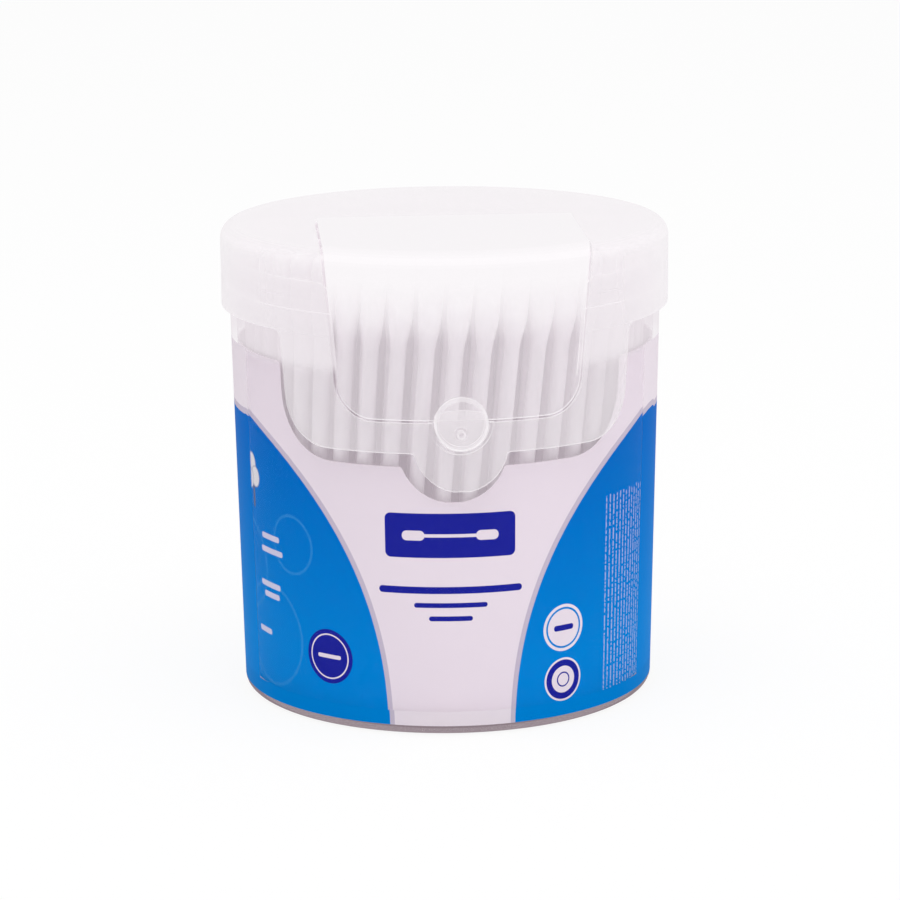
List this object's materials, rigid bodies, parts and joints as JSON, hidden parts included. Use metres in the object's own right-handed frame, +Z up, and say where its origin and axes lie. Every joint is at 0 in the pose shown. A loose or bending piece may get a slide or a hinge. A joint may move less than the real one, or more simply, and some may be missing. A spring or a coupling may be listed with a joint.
{
  "type": "cotton swab tub",
  "caption": "Round clear tub of cotton swabs with a printed card sleeve inside and a milky push-on lid whose front flap tips up on a thin moulded hinge.",
  "frame": {"origin": "centre of the tub's base, on the surface that it stands on", "axes": "+Z up along the tub's axis; the flap's front faces -Y; +X to the right seen from the front"},
  "size_m": [0.077, 0.0773, 0.0822],
  "materials": {
    "clear_plastic": "clear moulded plastic, gloss",
    "printed_card": "white coated card with printed blue fields",
    "milky_plastic": "milky translucent plastic, satin",
    "milky_flap": "milky translucent plastic, smooth and clearer than the lid",
    "stick_plastic": "white extruded plastic sticks",
    "cotton": "wound white cotton"
  },
  "bodies": {
    "tub": {"cup": "clear_plastic", "label_card": "printed_card", "swab_sticks": "stick_plastic", "bottom_cotton_tips": "cotton", "top_cotton_tips": "cotton"},
    "lid": {"lid": "milky_plastic"},
    "flap": {"flap": "milky_flap"}
  },
  "joints": [
    {"name": "lid_lift", "type": "slide", "parent": "tub", "child": "lid", "axis": [0, 0, 1], "range_m": [0, 0.045]},
    {"name": "flap_hinge", "type": "hinge", "parent": "lid", "child": "flap", "pos_m": [0, 0.001, 0.0816], "axis": [-1, 0, 0], "range_deg": [0, 125]}
  ]
}
